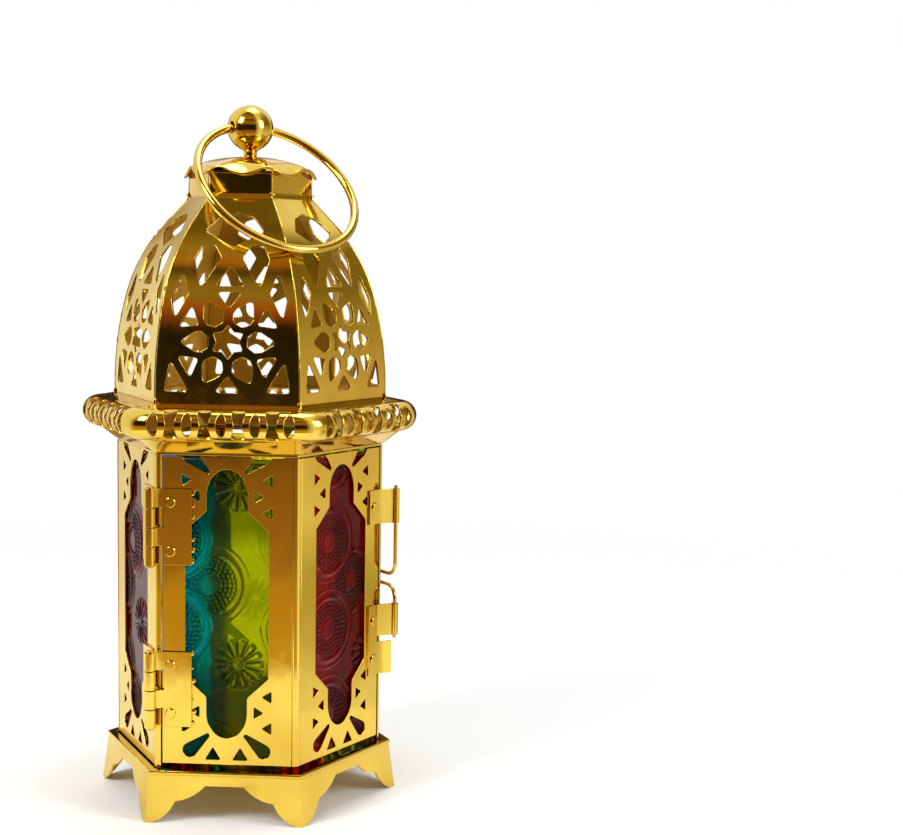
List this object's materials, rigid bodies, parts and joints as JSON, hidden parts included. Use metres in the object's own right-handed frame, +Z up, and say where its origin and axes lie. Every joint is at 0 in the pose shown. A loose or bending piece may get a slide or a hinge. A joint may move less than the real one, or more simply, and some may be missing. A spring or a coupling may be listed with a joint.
{
  "type": "hexagonal candle lantern",
  "caption": "Hexagonal pierced gold-metal candle lantern with coloured glass panes, a hinged corner door with wire clasp, a domed top, scalloped feet and a hanging ring.",
  "frame": {"origin": "on the floor, under the middle of the base tray", "axes": "+Z up; -Y out of the hinged front panel; +X towards the clasp's corner"},
  "size_m": [0.0822, 0.0738, 0.1675],
  "materials": {
    "gold_metal": "bright gold-coloured plated sheet metal, lightly worn",
    "gold_wire": "bright gold-coloured plated wire",
    "glass_green": "green pressed glass with raised scrolls",
    "glass_red": "red pressed glass with raised scrolls",
    "glass_yellow": "yellow pressed glass with raised scrolls",
    "glass_blue": "blue pressed glass with raised scrolls"
  },
  "bodies": {
    "lantern": {"base_tray": "gold_metal", "candle_cup": "gold_metal", "cup_rivet": "gold_metal", "panel_back_right": "gold_metal", "panel_back": "gold_metal", "panel_back_left": "gold_metal", "panel_front_left": "gold_metal", "pane_back_right": "glass_green", "pane_back": "glass_yellow", "pane_back_left": "glass_blue", "pane_front_left": "glass_red", "post_back_right": "gold_metal", "post_back_left": "gold_metal", "post_left": "gold_metal", "post_hinge": "gold_metal", "post_latch": "gold_metal", "header": "gold_metal", "hinge_lower_body_leaf": "gold_metal", "hinge_upper_body_leaf": "gold_metal", "hinge_lower_pin": "gold_metal", "hinge_upper_pin": "gold_metal", "hinge_body_rivets": "gold_metal", "clasp_catch": "gold_metal", "collar": "gold_metal", "dome_panel_front": "gold_metal", "dome_panel_front_right": "gold_metal", "dome_panel_back_right": "gold_metal", "dome_panel_back": "gold_metal", "dome_panel_back_left": "gold_metal", "dome_panel_front_left": "gold_metal", "neck_plate": "gold_metal", "cap": "gold_metal", "ball_finial": "gold_metal", "finial_screw": "gold_metal"},
    "door": {"door_panel_front": "gold_metal", "door_panel_side": "gold_metal", "pane_front": "glass_green", "pane_front_right": "glass_red", "post_door": "gold_metal", "hinge_lower_door_leaf": "gold_metal", "hinge_upper_door_leaf": "gold_metal", "hinge_door_rivets": "gold_metal", "clasp_rivets": "gold_metal", "clasp_upper_bracket": "gold_metal", "clasp_lower_bracket": "gold_metal"},
    "bail": {"clasp_bail": "gold_wire"},
    "ring": {"hanging_ring": "gold_wire"}
  },
  "joints": [
    {"name": "door_swing", "type": "hinge", "parent": "lantern", "child": "door", "pos_m": [-0.01751, -0.03033, 0.05], "axis": [0, 0, -1], "range_deg": [0, 180]},
    {"name": "bail_swing", "type": "hinge", "parent": "door", "child": "bail", "pos_m": [0.0364, 0, 0.052], "axis": [0, 0, -1], "range_deg": [-9, 120]},
    {"name": "ring_swing", "type": "hinge", "parent": "lantern", "child": "ring", "pos_m": [0, 0, 0.162], "axis": [-0.7771, -0.6293, 0], "range_deg": [0, 274]}
  ]
}
